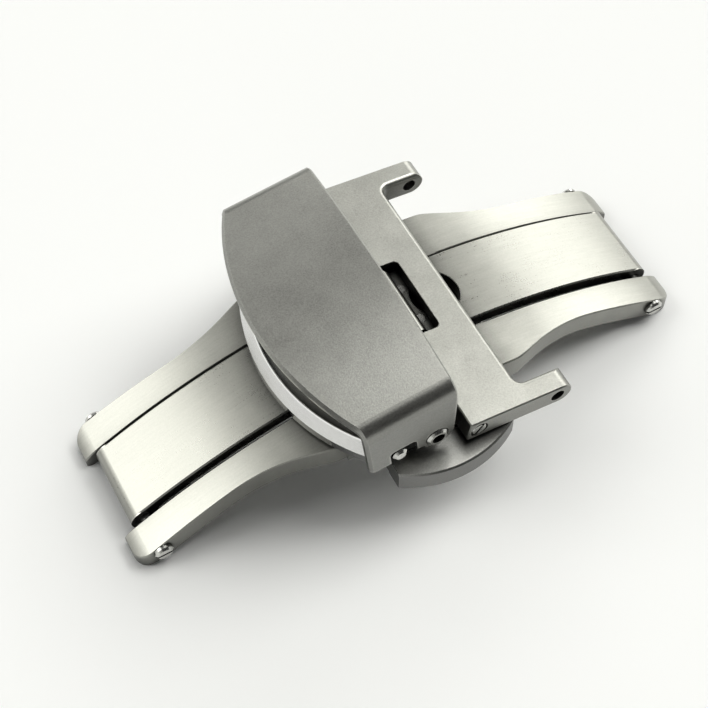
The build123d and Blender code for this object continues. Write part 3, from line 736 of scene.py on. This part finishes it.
@dataclass
class Studio:
    """Pale floor, dim surroundings and the soft lights of the table.

    Attributes:
        floor_size: side of the floor in millimetres.
        paper: colour of the floor.
        surroundings: colour of everything beyond the floor.
        lamps: the lights.
    """

    floor_size: float = 12000.0
    paper: Colour = (0.955, 0.960, 0.962)
    surroundings: Colour = (0.043, 0.043, 0.043)
    lamps: Tuple[Lamp, ...] = (
        Lamp("overhead", 0.0, 90.0, 34.0, 0.09),
        Lamp("high_right", 15.0, 66.0, 34.0, 0.78),
        Lamp("right", -2.0, 43.0, 34.0, 1.46),
        Lamp("back", 90.0, 42.0, 34.0, 0.16),
        Lamp("back_left", 122.0, 44.0, 34.0, 0.14),
        Lamp("left", 150.0, 44.0, 32.0, 0.64),
        Lamp("low_right", 30.0, 22.0, 30.0, 0.58),
        Lamp("low_back", 60.0, 20.0, 34.0, 0.62),
        Lamp("low_left", 155.0, 22.0, 34.0, 0.34),
        Lamp("low_front", 228.0, 20.0, 50.0, 0.22),
    )

    def build(self) -> None:
        """Makes the floor, the surroundings and the lights."""
        self._floor()
        self._world()
        for lamp in self.lamps:
            lamp.build()

    def _floor(self) -> None:
        """A large square under the clasp: one quad."""
        half = self.floor_size / 2 * MM
        corners = [(-half, -half, 0.0), (half, -half, 0.0), (half, half, 0.0), (-half, half, 0.0)]
        mesh = bpy.data.meshes.new("floor_sheet")
        mesh.from_pydata(corners, [], [(0, 1, 2, 3)])
        floor = bpy.data.objects.new("floor_sheet", mesh)
        bpy.context.collection.objects.link(floor)
        material = bpy.data.materials.new("floor_paper")
        material.use_nodes = True
        graph = Graph(material.node_tree)
        paper = graph.add("ShaderNodeBsdfDiffuse", {}, {"Color": (*self.paper, 1.0)})
        graph.add("ShaderNodeOutputMaterial", {}, {"Surface": paper})
        mesh.materials.append(material)

    def _world(self) -> None:
        """The same dim grey in every direction."""
        world = bpy.data.worlds.new("surroundings")
        bpy.context.scene.world = world
        world.use_nodes = True
        graph = Graph(world.node_tree)
        inputs = {"Color": (*self.surroundings, 1.0), "Strength": 1.0}
        sky = graph.add("ShaderNodeBackground", {}, inputs)
        graph.add("ShaderNodeOutputWorld", {}, {"Surface": sky})


@dataclass
class PhotoCamera:
    """The camera, placed by fitting the clasp's edges.

    Attributes:
        place: where it stands, in millimetres.
        right: the way its right side points.
        forward: the way it looks.
        lens: focal length.
        sensor: width of its picture.
        nearest: how near it sees.
    """

    place: Tuple[float, float, float] = (-26.174, -47.079, 94.367)
    right: Tuple[float, float, float] = (0.8766, -0.4810, -0.0159)
    forward: Tuple[float, float, float] = (0.2314, 0.4502, -0.8624)
    lens: float = 76.99
    sensor: float = 36.0
    nearest: float = 5.0

    def build(self) -> None:
        """Makes the camera and sets it as the scene's."""
        data = bpy.data.cameras.new("camera")
        data.lens = self.lens
        data.sensor_width = self.sensor
        data.sensor_fit = "HORIZONTAL"
        data.clip_start = self.nearest * MM
        camera = bpy.data.objects.new("camera", data)
        ahead = Vector(self.forward).normalized()
        side = Vector(self.right)
        side = (side - ahead * side.dot(ahead)).normalized()
        up = side.cross(ahead)
        turn = Matrix((side, up, -ahead)).transposed().to_4x4()
        camera.matrix_world = Matrix.Translation(Vector(self.place) * MM) @ turn
        bpy.context.collection.objects.link(camera)
        bpy.context.scene.camera = camera


def main() -> None:
    """Builds the looks in order."""
    logging.basicConfig(level=logging.INFO, format="%(name)s: %(message)s")
    bpy.context.scene.view_settings.view_transform = "Standard"
    finishes = Dressing().apply()
    CoilSprings().build(finishes["springs_front"])
    FloorPlate().build()
    Studio().build()
    PhotoCamera().build()


if __name__ == "__main__":
    main()
